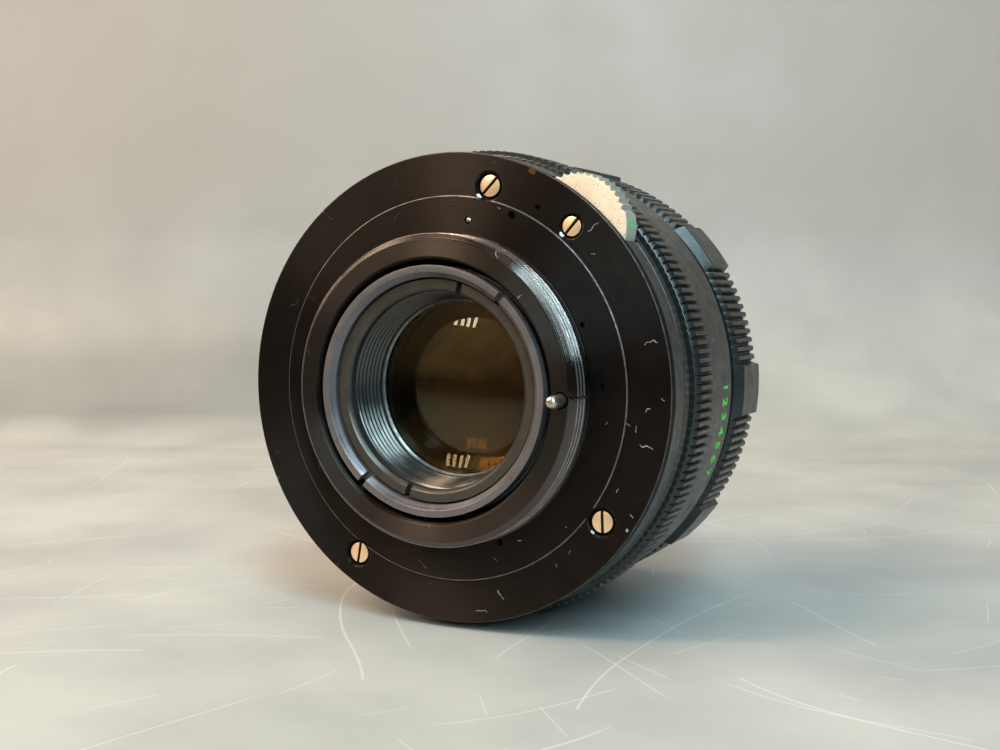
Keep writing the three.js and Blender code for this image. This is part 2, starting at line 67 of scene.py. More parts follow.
def forward(azimuth, elevation):
    a, e = math.radians(azimuth), math.radians(elevation)
    return Vector((-math.sin(a) * math.cos(e), math.cos(a) * math.cos(e), -math.sin(e)))


def make_camera():
    data = bpy.data.cameras.new("camera")
    data.lens, data.sensor_width = LENS, SENSOR
    data.clip_start, data.clip_end = 0.005, 20
    camera = bpy.data.objects.new("camera", data)
    scene.collection.objects.link(camera)
    camera.location = ORIGIN + CAMERA_FROM_FLANGE
    camera.rotation_mode = "QUATERNION"
    look = forward(CAMERA_AZIMUTH, CAMERA_ELEVATION)
    camera.rotation_quaternion = look.to_track_quat("-Z", "Y")
    scene.camera = camera


make_camera()


# ---------------------------------------------------------------- mesh helpers
STRAIGHT = 0.12  # radians: a corner that turns less than this is left alone
CORNER_SHARE = 0.35  # the most of a side that a softened corner takes
WELD = 2e-7  # metres


def polar(r, angle):
    return r * math.cos(math.radians(angle)), r * math.sin(math.radians(angle))


def point(x, y, z):
    return ORIGIN + Vector((x, y, z)) * MM


def soften(outline, size, closed=True):
    """Replaces each corner of an outline by a small curve, so that its edge catches light."""
    made = []
    count = len(outline)
    for i, here in enumerate(outline):
        if not closed and i in (0, count - 1):
            made.append(here)
            continue
        here = Vector(here)
        before, after = Vector(outline[i - 1]), Vector(outline[(i + 1) % count])
        back, on = before - here, after - here
        if back.length < 1e-6 or on.length < 1e-6 or abs(back.angle(on) - math.pi) < STRAIGHT:
            made.append(tuple(here))
            continue
        start = here + back.normalized() * min(size, back.length * CORNER_SHARE)
        end = here + on.normalized() * min(size, on.length * CORNER_SHARE)
        made += [tuple(start), tuple((start + 2 * here + end) / 4), tuple(end)]
    return made


def outward(bm):
    """Turns the faces of a closed mesh outwards."""
    bmesh.ops.recalc_face_normals(bm, faces=bm.faces)
    if bm.calc_volume(signed=True) < 0:
        bmesh.ops.reverse_faces(bm, faces=bm.faces)
    return bm


def loft(columns, at=(0, 0)):
    """Closed solid through [angle, outline] columns around an axis at polar position `at`."""
    bm = bmesh.new()
    cx, cz = polar(*at)
    grid = []
    for angle, outline in columns:
        c, s = polar(1, angle)
        grid.append([bm.verts.new(point(cx + r * c, y, cz + r * s)) for r, y in outline])
    for j, this in enumerate(grid):
        that = grid[(j + 1) % len(grid)]
        for i in range(len(this)):
            k = (i + 1) % len(this)
            bm.faces.new((this[i], this[k], that[k], that[i]))
    bmesh.ops.remove_doubles(bm, verts=bm.verts, dist=WELD)
    loose = [edge for edge in bm.edges if not edge.link_faces]
    bmesh.ops.delete(bm, geom=loose, context="EDGES")
    return outward(bm)


def revolve(outline, count=240, at=(0, 0), edge=0.08, closed=True):
    """Solid of revolution of an (r, y) outline, its corners softened by `edge`."""
    outline = soften(outline, edge, closed) if edge else outline
    return loft([(360 * j / count, outline) for j in range(count)], at)


def box(r0, r1, width, y0, y1, angle):
    """Box between two radii at an angle, `width` across."""
    bm = bmesh.new()
    bmesh.ops.create_cube(bm, size=1)
    c, s = polar(1, angle)
    for v in bm.verts:
        r, across = (r0 + r1) / 2 + v.co.x * (r1 - r0), v.co.z * width
        y = (y0 + y1) / 2 + v.co.y * (y1 - y0)
        v.co = point(r * c - across * s, y, r * s + across * c)
    return outward(bm)


def merge(*parts):
    """All the meshes in the first one."""
    whole = parts[0]
    for part in parts[1:]:
        mesh = bpy.data.meshes.new("part")
        part.to_mesh(mesh)
        part.free()
        whole.from_mesh(mesh)
        bpy.data.meshes.remove(mesh)
    return whole


def to_object(name, bm):
    mesh = bpy.data.meshes.new(name)
    bm.to_mesh(mesh)
    bm.free()
    obj = bpy.data.objects.new(name, mesh)
    scene.collection.objects.link(obj)
    return obj


def evaluated_mesh(obj):
    """A new mesh of an object with its modifiers applied."""
    bpy.context.view_layer.update()
    depsgraph = bpy.context.evaluated_depsgraph_get()
    return bpy.data.meshes.new_from_object(obj.evaluated_get(depsgraph))


def cut(base, *tools):
    """The first mesh without the others."""
    target = to_object("target", base)
    tool = to_object("tool", merge(*tools))
    modifier = target.modifiers.new("cut", "BOOLEAN")
    modifier.operation, modifier.solver, modifier.object = "DIFFERENCE", "EXACT", tool
    result = evaluated_mesh(target)
    bm = bmesh.new()
    bm.from_mesh(result)
    for obj in (target, tool):
        mesh = obj.data
        bpy.data.objects.remove(obj)
        bpy.data.meshes.remove(mesh)
    bpy.data.meshes.remove(result)
    return bm


def piece(name, bm, material, body, replaces=(), sharp=28):
    """Adds a visible piece that rides a body; edges over `sharp` degrees stay sharp."""
    obj = to_object(name, bm)
    obj.data.materials.append(material)
    obj.data.shade_smooth()
    obj.data.set_sharp_from_angle(angle=math.radians(sharp))
    obj.modifiers.new("flat_faces", "WEIGHTED_NORMAL").keep_sharp = True
    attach(obj, body)
    if replaces:
        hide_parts(*replaces)
    return obj


# ---------------------------------------------------------------- shader helpers
TO_MM = 1 / MM
BAND_EDGE = 0.05  # mm over which a band of radii fades in and out


class Nodes:
    """Short ways to add nodes to a tree. Textures are read at `place`."""

    def __init__(self, tree):
        self.tree = tree
        self.place = None

    def put(self, socket, value):
        """Links or sets an input; None leaves it as it is."""
        if isinstance(value, bpy.types.NodeSocket):
            self.tree.links.new(value, socket)
        elif value is not None:
            socket.default_value = value

    def node(self, kind, operation=None, *inputs, output=0, **settings):
        """Adds a node with its first inputs and its settings, and returns one of its outputs."""
        made = self.tree.nodes.new(kind)
        if operation:
            made.operation = operation
        for key, value in settings.items():
            setattr(made, key, value)
        for socket, value in zip(made.inputs, inputs):
            self.put(socket, value)
        return made.outputs[output]

    def math(self, operation, *inputs):
        return self.node("ShaderNodeMath", operation, *inputs)

    def vector(self, operation, *inputs, output="Vector"):
        return self.node("ShaderNodeVectorMath", operation, *inputs, output=output)

    def axis(self, vector, name):
        return self.node("ShaderNodeSeparateXYZ", None, vector, output=name)

    def ramp(self, value, low, high, to_low=0.0, to_high=1.0):
        return self.node("ShaderNodeMapRange", None, value, low, high, to_low, to_high)

    def noise(self, scale, detail=2, w=None, output=0):
        """Noise over the places, or along one value `w`."""
        made = self.tree.nodes.new("ShaderNodeTexNoise")
        if w is None:
            self.put(made.inputs["Vector"], self.place)
        else:
            made.noise_dimensions = "1D"
            self.put(made.inputs["W"], w)
        made.inputs["Scale"].default_value = scale
        made.inputs["Detail"].default_value = detail
        return made.outputs[output]

    def voronoi(self, scale, place):
        """All the outputs of a cell pattern."""
        made = self.tree.nodes.new("ShaderNodeTexVoronoi")
        self.put(made.inputs["Vector"], place)
        made.inputs["Scale"].default_value = scale
        return made.outputs

    def mix(self, factor, a, b):
        made = self.tree.nodes.new("ShaderNodeMix")
        made.data_type = "RGBA"
        self.put(made.inputs[0], factor)
        for index, colour in ((6, a), (7, b)):
            if not isinstance(colour, bpy.types.NodeSocket):
                colour = (*colour, 1)
            self.put(made.inputs[index], colour)
        return made.outputs[2]

    def bump(self, height, depth, normal=None):
        """Normals of a relief `depth` mm high, on top of the given normals."""
        made = self.tree.nodes.new("ShaderNodeBump")
        made.inputs["Distance"].default_value = depth * MM
        self.put(made.inputs["Height"], height)
        self.put(made.inputs["Normal"], normal)
        return made.outputs[0]


class Shader(Nodes):
    """A material with a principled shader; its places are in mm from the middle of the
    flange's rear face."""

    def __init__(self, name):
        self.material = bpy.data.materials.new(name)
        self.material.use_nodes = True
        super().__init__(self.material.node_tree)
        self.bsdf = self.tree.nodes["Principled BSDF"]
        coords = self.node("ShaderNodeTexCoord", output="Object")
        self.place = self.vector("MULTIPLY_ADD", coords, (TO_MM,) * 3, ORIGIN * -TO_MM)
        flat = self.vector("MULTIPLY", self.place, (1, 0, 1))
        self.radius = self.vector("LENGTH", flat, output="Value")
        self.x, self.along, self.height = (self.axis(self.place, name) for name in "XYZ")

    def set(self, name, value):
        self.put(self.bsdf.inputs[name], value)

    def outside(self, r0, r1):
        """0 between two radii and 1 elsewhere."""
        inner = self.ramp(self.radius, r0 + BAND_EDGE, r0)
        return self.math("ADD", inner, self.ramp(self.radius, r1, r1 + BAND_EDGE))

    def scratches(self, spacing, length, width, share, plane=(1, 0, 1), bending=0.8,
                  frequency=0.9, detail=1):
        """1 on thin, slightly bent lines: one in a share of the cells, `spacing` mm across,
        of a plane. `bending` is in mm; frequency and detail are those of the noise that bends."""
        flat = self.vector("MULTIPLY", self.place, plane)
        cells = self.voronoi(1 / spacing, flat)
        noise = self.noise(frequency, detail, output="Color")
        bend = self.vector("MULTIPLY_ADD", noise, [2 * bending * c for c in plane],
                           [-bending * c for c in plane])
        away = self.vector("ADD", self.vector("SUBTRACT", flat, cells["Position"]), bend)
        away = self.vector("MULTIPLY", away, plane)
        turn = self.vector("MULTIPLY_ADD", cells["Color"], [2 * c for c in plane],
                           [-c for c in plane])
        turn = self.vector("NORMALIZE", turn)
        across = self.vector("LENGTH", self.vector("CROSS_PRODUCT", away, turn), output="Value")
        along = self.math("ABSOLUTE", self.vector("DOT_PRODUCT", away, turn, output="Value"))
        line = self.math("MULTIPLY", self.ramp(across, width, width * 0.5),
                         self.ramp(along, length / 2, length * 0.4))
        unused = "XYZ"[plane.index(0)]
        chosen = self.ramp(self.axis(cells["Color"], unused), 1 - share, 1.005 - share)
        return self.math("MULTIPLY", line, chosen)

    def spot(self, r, y, angle, size):
        """1 inside a ragged spot around a place on the lens."""
        x, z = polar(r, angle)
        ragged = self.ramp(self.noise(2.2, 3), 0.2, 0.8, -0.45 * size, 0.45 * size)
        away = self.vector("DISTANCE", self.place, (x, y, z), output="Value")
        return self.ramp(self.math("ADD", away, ragged), size, size * 0.8)


SCRATCHES = ((4.6, 1.9, 0.11), (1.9, 0.6, 0.07))  # spacing and length in mm, share of the cells
SCRATCH_WIDTH, SCRATCH_COLOUR = 0.07, (0.42, 0.38, 0.36)
DUST_SCALE, DUST_COLOUR, DUST_ROUGH = 0.45, (0.34, 0.33, 0.31), (0.9, 0.9, 0.9)
CHIP_AND_HIGHLIGHT_METAL, CHIP_AND_HIGHLIGHT_ROUGH = 0.6, (0.5, 0.5, 0.5)
MARKS_SHIFT = 1.37  # how far the turning marks move outwards per mm along the axis


def machined(name, base, shade, roughness, metallic=0.0, variation=0.08, specular=0.5,
             specular_tint=(1, 1, 1), anisotropic=0.0, marks=0.0, pitch=0.14, grain=0.0,
             grain_size=0.1, speckle=0.0, scratches=0.0, dust=0.0, chips_and_highlights=(), worn_and_highlit=(),
             worn_and_highlight_colour=(0.32, 0.31, 0.3), smooth_band=None, shiny_bands=(), painted_shade_depth=None):
    """Turned or blasted metal, its colour going from `base` to `shade` in clouds.

    variation: how far the roughness strays either way
    marks, pitch: depth and spacing of the turning marks, in mm
    grain, grain_size: depth and size of the blasting, in mm
    speckle: how dark its small stains are
    scratches, dust: strength of the scratches on the +X side, size of the specks
    chips_and_highlights: (radius, y, angle, size, colour) of each chip and each painted highlight
    spot
    worn_and_highlit: (radius from, to, y from, to, strength) bands painted paler, for rubbed finish
    and for painted highlight lines
    smooth_band: (radius from, to, share that is left of the roughness)
    shiny_bands: (radius from, to, specular level) of each
    painted_shade_depth: (y from, to, colour) of painted shade on what lies deeper than the face
    """
    sh = Shader(name)
    sh.set("Specular Tint", (*specular_tint, 1))
    if anisotropic:
        sh.set("Anisotropic", anisotropic)
        sh.set("Anisotropic Rotation", 0.25)
        sh.set("Tangent", sh.node("ShaderNodeTangent", direction_type="RADIAL", axis="Y"))
    colour = sh.mix(sh.ramp(sh.noise(0.22, 3), 0.35, 0.65), base, shade)
    rough = sh.ramp(sh.noise(0.5, 3), 0.3, 0.7, roughness - variation, roughness + variation)
    if smooth_band:
        r0, r1, share = smooth_band
        rough = sh.math("MULTIPLY", rough, sh.ramp(sh.outside(r0, r1), 0, 1, share, 1.0))
    level = specular
    for r0, r1, shine in shiny_bands:
        level = sh.ramp(sh.outside(r0, r1), 0, 1, shine, level)
    sh.set("Specular IOR Level", level)
    if speckle:
        stain = sh.mix(1 - speckle, (0, 0, 0), colour)
        colour = sh.mix(sh.ramp(sh.noise(4.5, 3), 0.56, 0.70), colour, stain)
    # painted shade: what lies deeper than the face is given a darker colour
    if painted_shade_depth:
        y0, y1, painted_shade_colour = painted_shade_depth
        colour = sh.mix(sh.ramp(sh.along, y0, y1), colour, painted_shade_colour)
    metal = metallic
    normal = None
    if marks:
        across = sh.math("ADD", sh.radius, sh.math("MULTIPLY", sh.along, MARKS_SHIFT))
        fine = sh.noise(1 / pitch, w=across)
        coarse = sh.noise(0.35 / pitch, w=across)
        normal = sh.bump(sh.math("ADD", fine, coarse), marks)
        rough = sh.math("ADD", rough, sh.ramp(coarse, 0.35, 0.7, -variation, variation))
    if grain:
        normal = sh.bump(sh.noise(1 / grain_size, 3), grain, normal)
    if scratches:
        on_right = sh.ramp(sh.x, -8, 8, 0.12 * scratches, scratches)
        for spacing, length, share in SCRATCHES:
            line = sh.scratches(spacing, length, SCRATCH_WIDTH, share)
            colour = sh.mix(sh.math("MULTIPLY", line, on_right), colour, SCRATCH_COLOUR)
    # pale bands: rubbed finish, and painted highlight lines along edges and crests
    for r0, r1, y0, y1, strength in worn_and_highlit:
        band = sh.math("MULTIPLY", sh.ramp(sh.radius, r0, r1), sh.ramp(sh.along, y1, y0))
        patches = sh.ramp(sh.noise(0.9, 4), 0.35, 0.65, strength * 0.45, strength)
        mask = sh.math("MULTIPLY", band, patches)
        colour = sh.mix(mask, colour, worn_and_highlight_colour)
        metal = sh.math("MAXIMUM", mask, metal)
    # spots: chips, and painted highlights on the lit edges of screw recesses
    for *place, spot_colour in chips_and_highlights:
        mask = sh.spot(*place)
        colour = sh.mix(mask, colour, spot_colour)
        metal = sh.math("MAXIMUM", sh.math("MULTIPLY", mask, CHIP_AND_HIGHLIGHT_METAL), metal)
        rough = sh.mix(mask, rough, CHIP_AND_HIGHLIGHT_ROUGH)
    if dust:
        cells = sh.voronoi(DUST_SCALE, sh.place)
        size = sh.ramp(sh.axis(cells["Color"], "X"), 0.35, 1, 0.0, dust)
        speck = sh.ramp(sh.math("SUBTRACT", cells["Distance"], size), 0.0, -0.012)
        colour = sh.mix(speck, colour, DUST_COLOUR)
        rough = sh.mix(speck, rough, DUST_ROUGH)
    sh.set("Base Color", colour)
    sh.set("Roughness", rough)
    sh.set("Metallic", metal)
    sh.set("Normal", normal)
    return sh.material


def coated_glass(name, tint, reflection, ior):
    sh = Shader(name)
    sh.set("Base Color", (*tint, 1))
    sh.set("Transmission Weight", 1.0)
    sh.set("IOR", ior)
    sh.set("Specular Tint", (*reflection, 1))
    sh.set("Roughness", 0.0)
    return sh.material


def paint(name, colour):
    sh = Shader(name)
    darker = [c * 0.6 for c in colour]
    sh.set("Base Color", sh.mix(sh.ramp(sh.noise(2.5, 3), 0.4, 0.7), colour, darker))
    sh.set("Roughness", sh.ramp(sh.noise(3), 0.3, 0.7, 0.45, 0.65))
    sh.set("Normal", sh.bump(sh.noise(9), 0.004))
    return sh.material


# BROWN and DULL are chip colours; the pale bluish one is a painted highlight for lit recess edges
BROWN, RECESS_HIGHLIGHT, DULL = (0.12, 0.05, 0.018), (0.62, 0.66, 0.68), (0.4, 0.38, 0.35)
GLOSS = machined(
    "gloss_black_turned", (0.0030, 0.0020, 0.0020), (0.0048, 0.0034, 0.0030), 0.42, marks=0.014,
    pitch=0.13, dust=0.04, scratches=0.6, specular=0.20, specular_tint=(1.0, 0.82, 0.74),
    variation=0.05, anisotropic=0.95, smooth_band=(20.12, 21.2, 0.4),
    shiny_bands=[(17.8, 20.1, 0.5), (20.12, 21.2, 1.0)],
    # rim, register step and thread crests: rubbed edges, also painted as pale highlight lines
    worn_and_highlit=[
        (31.85, 31.9, 0.1, 0.2, 0.35), (26.02, 26.06, -0.34, -0.12, 1.0),
        (20.85, 20.93, -1.15, -1.05, 0.8),
    ],
    worn_and_highlight_colour=(0.30, 0.27, 0.27),
    chips_and_highlights=[
        (31.6, 0.15, 66.5, 0.55, BROWN), (31.6, 0.2, 206, 0.3, BROWN),
        # the three pale bluish spots at the lower-left of the screw recesses are painted highlights
        # on their lit edges
        (31.3, 0.05, -33.5, 0.22, DULL), (26.45, 0.15, 79.6, 0.34, RECESS_HIGHLIGHT),
        (26.63, 0.15, 50.8, 0.36, RECESS_HIGHLIGHT), (27.8, 0.15, -39.8, 0.34, RECESS_HIGHLIGHT),
    ],
)
MATT = machined(
    "matt_black_anodised", (0.0115, 0.0138, 0.0137), (0.0098, 0.0116, 0.0116), 0.33, marks=0.0006,
    pitch=0.08, grain=0.003, grain_size=0.08, dust=0.022, specular=0.5,
)
SATIN = machined("satin_black_turned", (0.012, 0.0105, 0.0095), (0.018, 0.015, 0.014), 0.36,
                 marks=0.004, pitch=0.12)
CELL = machined(
    "satin_black_cell", (0.018, 0.018, 0.018), (0.024, 0.024, 0.025), 0.20, marks=0.001, pitch=0.1,
    # painted highlight: a pale line on the lip around the rear glass
    worn_and_highlit=[(12.3, 12.2, 3.1, 3.05, 0.8)], worn_and_highlight_colour=(0.20, 0.21, 0.19),
    specular_tint=(1.0, 0.93, 0.85),
)
GREY = machined(
    "grey_anodised", (0.150, 0.130, 0.136), (0.125, 0.110, 0.118), 0.36, metallic=0.55, marks=0.003,
    pitch=0.1, grain=0.002,
)
BROWN_GREY = machined(
    "brown_grey_anodised", (0.060, 0.050, 0.043), (0.048, 0.040, 0.036), 0.36, metallic=0.5,
    marks=0.003, pitch=0.1,
)
# pale peach base colour: the aluminium's own pale colour with the warm lamp's reflection painted in
SILVER = machined(
    "bare_aluminium_sheet", (0.98, 0.73, 0.56), (0.86, 0.62, 0.47), 0.42, metallic=0.25,
    grain=0.012, grain_size=0.16, variation=0.1, speckle=0.45,
    # painted shade: the switch's side is painted darker than its face
    painted_shade_depth=(1.56, 1.75, (0.43, 0.425, 0.37)),
)
RAW = machined("raw_aluminium", (0.42, 0.42, 0.41), (0.34, 0.34, 0.33), 0.4, metallic=0.9,
               marks=0.006, pitch=0.15)
BRASS = machined(
    "bare_brass", (1.0, 0.70, 0.46), (0.86, 0.58, 0.36), 0.36, metallic=0.75, grain=0.004,
    # painted shade: the slot's floor and the head's side are painted near black
    grain_size=0.12, painted_shade_depth=(0.38, 0.55, (0.04, 0.025, 0.015)),
)
STEEL = machined("steel", (0.50, 0.48, 0.45), (0.40, 0.38, 0.36), 0.28, metallic=0.95, marks=0.003,
                 grain=0.002)
BLADE = machined("blade_steel", (0.05, 0.052, 0.055), (0.035, 0.036, 0.04), 0.35, metallic=0.6,
                 grain=0.003)
GLASS = coated_glass("coated_glass", (0.50, 0.41, 0.28), (0.94, 0.86, 0.70), 1.46)
AMBER_GLASS = coated_glass("amber_coated_glass", (0.44, 0.35, 0.22), (1.0, 0.78, 0.48), 1.60)
GREEN = paint("green_paint", (0.07, 0.85, 0.11))
WHITE = paint("white_paint", (0.75, 0.75, 0.7))


# ---------------------------------------------------------------- mount plate with its thread
THREAD_R, THREAD_PITCH, THREAD_DEPTH = 21.0, 1.0, 0.56
BOSS_END_Y, BOSS_END_R, BOSS_BORE_R = -5.36, 20.1, 17.55
THREAD_END_Y = -1.1
CREST = (0.42, 0.58)  # where a crest starts and ends, as shares of the pitch from root to root
LEAD_IN_SLOPE = 1.05
JUST_PAST = 1e-7  # mm: a corner of the thread belongs to the stretch that follows it
PIN_AT = (18.95, -1.6)
SWITCH_AT = (28.2, 50.1)
LOCATING_PIN_AT = (23.0, 81.8)
SCREW_R, SCREW_HOLE_R = 27.95, 1.05
MOUNT_HEAD, PIVOT_HEAD = (1.45, 1.9, 5.4), (1.3, 1.62, 7.0)  # radii of head and recess, tip's y
HEAD_Y = (0.3, 0.95)
SCREWS = {  # place (r, angle), sizes, turn of the slot
    "mount_screw_1": ((SCREW_R, 77.1), MOUNT_HEAD, 45),
    "mount_screw_2": ((SCREW_R, -36.2), MOUNT_HEAD, 92),
    "mount_screw_3": ((SCREW_R, -121.6), MOUNT_HEAD, 80),
    "switch_pivot_screw": (SWITCH_AT, PIVOT_HEAD, 48),
}
SMALL_HOLES = [  # r, angle, radius
    (*LOCATING_PIN_AT, 0.5), (25.2, 67.2, 0.55), (27.6, 61.0, 0.4), (22.7, 2.9, 0.35),
    (21.8, 24.2, 0.4), (21.8, -68.2, 0.4),
]


def thread_rows(angle):
    """Outline points of the threaded stretch at one angle, from its end towards the flange."""
    start, end = CREST
    rows = []
    turns = int((THREAD_END_Y - BOSS_END_Y) / THREAD_PITCH) + 2

    def radius(y):
        phase = ((y - BOSS_END_Y) / THREAD_PITCH - angle / 360) % 1
        if phase < start:
            share = phase / start
        elif phase < end:
            share = 1
        else:
            share = (1 - phase) / (1 - end)
        lead_in = BOSS_END_R + LEAD_IN_SLOPE * (y - BOSS_END_Y)
        return min(THREAD_R - THREAD_DEPTH * (1 - share), lead_in)

    for turn in range(-1, turns):
        for step in (0.0, start, end):
            y = BOSS_END_Y + (turn + step + angle / 360) * THREAD_PITCH
            y = min(max(y, BOSS_END_Y), THREAD_END_Y)
            rows.append((radius(y + JUST_PAST), y))
    return rows


def mount_plate():
    face = soften([
        (20.25, THREAD_END_Y), (20.25, -0.7), (21.0, -0.7), (21.0, -0.35), (26.07, -0.35),
        (26.2, -0.2), (26.2, 0.0), (31.85, 0.0), (32.0, 0.15), (32.0, FLANGE_T),
        (BOSS_BORE_R, FLANGE_T), (BOSS_BORE_R, -5.0), (17.9, BOSS_END_Y),
    ], 0.06, closed=False)
    count = 300
    body = loft([(360 * j / count, thread_rows(360 * j / count) + face) for j in range(count)])
    holes = []
    for at, (_, recess, _), _ in SCREWS.values():
        holes.append(revolve([
            (0, -1), (recess + 0.2, -1), (recess + 0.2, -0.02), (recess - 0.04, 0.24),
            (recess - 0.04, 1.0), (SCREW_HOLE_R, 1.0), (SCREW_HOLE_R, 1.5), (0, 1.5),
        ], 48, at, edge=0))
    for r, angle, size in SMALL_HOLES:
        holes.append(revolve([(0, -1), (size, -1), (size, 0.7), (0, 0.95)], 20, (r, angle), edge=0))
    holes.append(revolve([
        (0, -6), (1.3, -6), (1.3, -5.3), (1.1, -5.1), (1.1, 1.5), (0, 1.5),
    ], 32, PIN_AT, edge=0))
    return cut(body, *holes)


piece("mount_plate_detail", mount_plate(), GLOSS, "barrel", ["mount_plate"],
      sharp=24)


def slotted_screw(at, sizes, turn):
    r, _, tip_y = sizes
    top, under = HEAD_Y
    head = revolve([
        (0, top), (r - 0.12, top), (r - 0.03, top + 0.04), (r, top + 0.14), (r, under),
        (0.8, under), (0.8, tip_y), (0, tip_y),
    ], 48, at, edge=0)
    slot = box(-1.8, 1.8, 0.42, top - 0.3, top + 0.45, turn)
    x, z = polar(*at)
    bmesh.ops.translate(slot, verts=slot.verts, vec=Vector((x, 0, z)) * MM)
    return cut(head, slot)


for name, screw in SCREWS.items():
    piece(f"{name}_detail", slotted_screw(*screw), BRASS, "barrel", [name])
locating_pin = revolve([
    (0, -0.32), (0.2, -0.3), (0.36, -0.2), (0.42, -0.05), (0.42, 0.6), (0, 0.6),
], 24, LOCATING_PIN_AT, edge=0.02, closed=False)
piece("locating_pin_detail", locating_pin, STEEL, "barrel", ["locating_pin"])

# ---------------------------------------------------------------- fixed barrel
ARM_SLOT = (146, 232)


def arc_plate(r0, r1, a0, a1, y0, y1, steps=24):
    """Solid between two radii and two angles."""
    bm = bmesh.new()
    corners = ((r0, y0), (r1, y0), (r1, y1), (r0, y1))
    rows = []
    for i in range(steps + 1):
        c, s = polar(1, a0 + (a1 - a0) * i / steps)
        rows.append([bm.verts.new(point(r * c, y, r * s)) for r, y in corners])
    for this, that in zip(rows, rows[1:]):
        for i in range(4):
            k = (i + 1) % 4
            bm.faces.new((this[i], this[k], that[k], that[i]))
    bm.faces.new(rows[0])
    bm.faces.new(reversed(rows[-1]))
    return outward(bm)


def main_barrel():
    body = revolve([
        (25.0, 1.24), (31.85, 1.24), (32.0, 1.4), (32.0, 4.8), (31.8, 4.9), (31.8, 5.0),
        (32.0, 5.1), (32.0, 6.85), (31.85, 7.0), (31.0, 7.05), (31.0, 7.6), (30.0, 7.7),
        (30.0, 25.0), (29.2, 25.0), (29.2, 33.2), (27.8, 33.2), (27.8, 7.6), (17.55, 7.6),
        (17.55, 6.0), (25.0, 6.0),
    ], 240, edge=0.06)
    pocket = revolve([(0, 0.5), (7.45, 0.5), (7.45, 5.6), (0, 5.6)], 72, SWITCH_AT, edge=0)
    hole = SCREW_HOLE_R
    pivot = revolve([(0, 5), (hole, 5), (hole, 7.2), (0, 7.2)], 24, SWITCH_AT, edge=0)
    screw_holes = [
        revolve([(0, 0), (hole, 0), (hole, 5.7), (0, 5.7)], 24, at, edge=0)
        for at, _, _ in SCREWS.values() if at != SWITCH_AT
    ]
    arm = arc_plate(26, 33, *ARM_SLOT, 8.2, 10.2)
    click = box(28.2, 31, 8.6, 10.9, 13.1, 90)
    return cut(cut(body, pocket, *screw_holes, arm, click), pivot)


piece("main_barrel_detail", main_barrel(), MATT, "barrel", ["main_barrel"])
index_ring = revolve([(29.5, 25.3), (30.5, 25.3), (30.5, 33.2), (29.5, 33.2)])
piece("index_ring_detail", index_ring, SATIN, "barrel", ["index_ring"])


# ---------------------------------------------------------------- knurled rings
def tooth_columns(start, pitch, teeth, tip, root, flat, valley):
    """Columns of `teeth` teeth from an angle on; the tip and the valley of each are flat over
    a share of the pitch."""
    made = []
    for i in range(teeth):
        middle = start + (i + 0.5) * pitch
        made += [
            (middle - (0.5 - valley / 2) * pitch, root), (middle - flat / 2 * pitch, tip),
            (middle + flat / 2 * pitch, tip), (middle + (0.5 - valley / 2) * pitch, root),
        ]
    return made


APERTURE_TEETH = 172


def aperture_ring():
    tip, root, band, end = 33.0, 32.35, 32.2, 24.85
    rest = [(band, 15.6), (band, end - 0.15), (band - 0.15, end), (30.3, end), (30.3, 8.05)]
    ridge = [(band, 8.05), (32.35, 8.1), (tip - 0.06, 8.68), (tip, 8.78), (tip, 14.1),
             (32.85, 14.55), (32.5, 14.9)]
    valley = [(band, 8.05), (32.3, 8.1), (root, 8.15), (root, 9), (root, 14.1), (root, 14.6),
              (band, 15.0)]
    pitch = 360 / APERTURE_TEETH
    return loft(tooth_columns(0, pitch, APERTURE_TEETH, ridge + rest, valley + rest, 0.46, 0.06))


piece("aperture_ring_detail", aperture_ring(), MATT, "aperture_control",
      ["aperture_ring"], sharp=24)

LANDS, LAND_CENTRE, LAND_WIDTH, GAP_TEETH = 9, 38.0, 13.4, 11  # the centre is the first land's
GRUB_ANGLES, GRUB_Y = (18, 138, 258), 38.55


def radial_rod(radius, r0, r1, y, angle):
    """Rod between two radii at an angle."""
    bm = bmesh.new()
    bmesh.ops.create_cone(
        bm, cap_ends=True, segments=24, radius1=radius, radius2=radius, depth=r1 - r0)
    c, s = polar(1, angle)
    for v in bm.verts:
        r = (r0 + r1) / 2 + v.co.z
        v.co = point(r * c - v.co.x * s, y + v.co.y, r * s + v.co.x * c)
    return outward(bm)


def focus_grip():
    rest = [
        (31.2, 37.4), (30.6, 37.45), (30.6, 39.3), (30.5, 39.4), (29.3, 39.4), (29.3, 36.6),
        (30.8, 36.6), (30.8, 28.3),
    ]

    def outline(top, chamfer):
        return [
            (top - chamfer, 28.3), (top - 0.05, 28.3 + 0.72 * chamfer), (top, 28.3 + 0.8 * chamfer),
            (top, 37.0), (top - 0.1, 37.25), (top - 0.35, 37.4),
        ] + rest

    land, tip, root = outline(32.8, 1.3), outline(32.25, 0.75), outline(31.6, 0.2)
    columns = []
    period = 360 / LANDS
    for i in range(LANDS):
        start = LAND_CENTRE + i * period - LAND_WIDTH / 2
        end = start + LAND_WIDTH
        columns += [(start - 0.55, root), (start + 0.35, land)]
        columns += [(start + LAND_WIDTH * k / 8, land) for k in range(1, 8)]
        columns += [(end - 0.35, land), (end + 0.55, root)]
        pitch = (period - LAND_WIDTH - 1.2) / GAP_TEETH
        columns += tooth_columns(end + 0.6, pitch, GAP_TEETH, tip, root, 0.42, 0.06)
    holes = [radial_rod(0.95, 29, 34, GRUB_Y, angle) for angle in GRUB_ANGLES]
    return cut(loft(columns), *holes)


